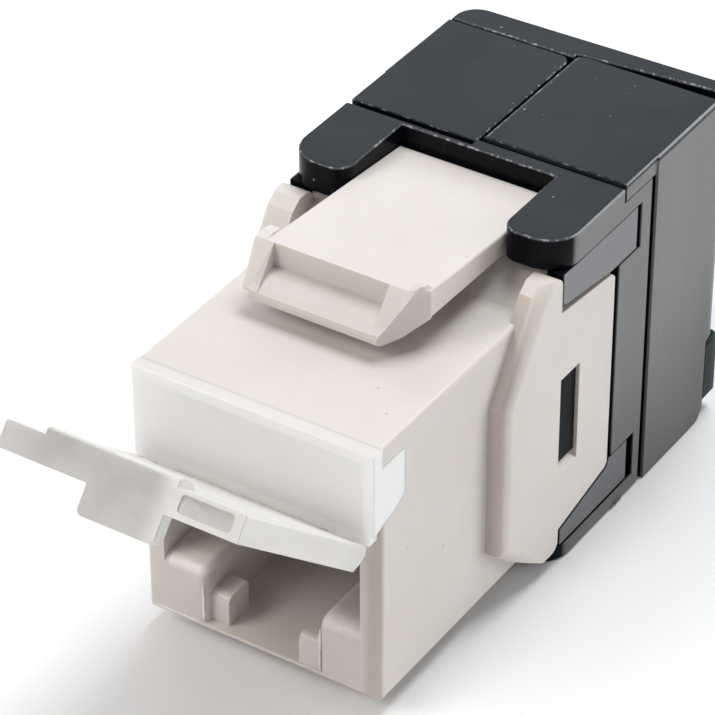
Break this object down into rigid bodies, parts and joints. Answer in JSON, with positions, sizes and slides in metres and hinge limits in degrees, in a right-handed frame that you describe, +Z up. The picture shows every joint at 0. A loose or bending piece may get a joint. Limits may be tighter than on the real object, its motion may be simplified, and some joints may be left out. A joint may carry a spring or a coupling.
{
  "type": "keystone jack",
  "caption": "Snap-in network socket with a hinged dust door, label window, sprung panel latch and two hinged wire covers at the rear.",
  "frame": {"origin": "middle of the front face, at the level of the front body's underside", "axes": "+Z up, -Y out of the socket, +X to the right seen from the front"},
  "size_m": [0.0171, 0.0465, 0.0211],
  "materials": {
    "white_plastic": "satin warm white, moulded",
    "frosted_plastic": "frosted translucent",
    "card_white": "plain card",
    "black_plastic": "glossy black",
    "black_inner": "satin black",
    "contact_gold": "gold plated",
    "board_green": "green solder mask"
  },
  "bodies": {
    "jack": {"front_housing": "white_plastic", "label_cover": "frosted_plastic", "label_card": "card_white", "front_shell": "black_plastic", "terminal_block": "black_inner", "rear_frame": "black_plastic", "circuit_board": "board_green", "contact_carrier": "black_inner", "spring_contact_1": "contact_gold", "wire_contact_1": "contact_gold", "spring_contact_2": "contact_gold", "wire_contact_2": "contact_gold", "spring_contact_3": "contact_gold", "wire_contact_3": "contact_gold", "spring_contact_4": "contact_gold", "wire_contact_4": "contact_gold", "spring_contact_5": "contact_gold", "wire_contact_5": "contact_gold", "spring_contact_6": "contact_gold", "wire_contact_6": "contact_gold", "spring_contact_7": "contact_gold", "wire_contact_7": "contact_gold", "spring_contact_8": "contact_gold", "wire_contact_8": "contact_gold"},
    "latch": {"panel_latch": "white_plastic"},
    "door": {"dust_door": "frosted_plastic"},
    "left_cover": {"left_wire_door": "black_plastic"},
    "right_cover": {"right_wire_door": "black_plastic"}
  },
  "joints": [
    {"name": "latch_press", "type": "hinge", "parent": "jack", "child": "latch", "pos_m": [0, 0.0194, 0.01775], "axis": [1, 0, 0], "range_deg": [0, 3], "stiffness_Nm_per_rad": 0.3, "springref_deg": -1.15},
    {"name": "dust_door_swing", "type": "hinge", "parent": "jack", "child": "door", "pos_m": [0, -0.0015, 0.0102], "axis": [1, 0, 0], "range_deg": [-45, 130.3]},
    {"name": "left_cover_swing", "type": "hinge", "parent": "jack", "child": "left_cover", "pos_m": [-0.00785, 0.028, 0.00055], "axis": [0, -1, 0], "range_deg": [0, 90]},
    {"name": "right_cover_swing", "type": "hinge", "parent": "jack", "child": "right_cover", "pos_m": [0.00785, 0.028, 0.00055], "axis": [0, 1, 0], "range_deg": [0, 90]}
  ]
}
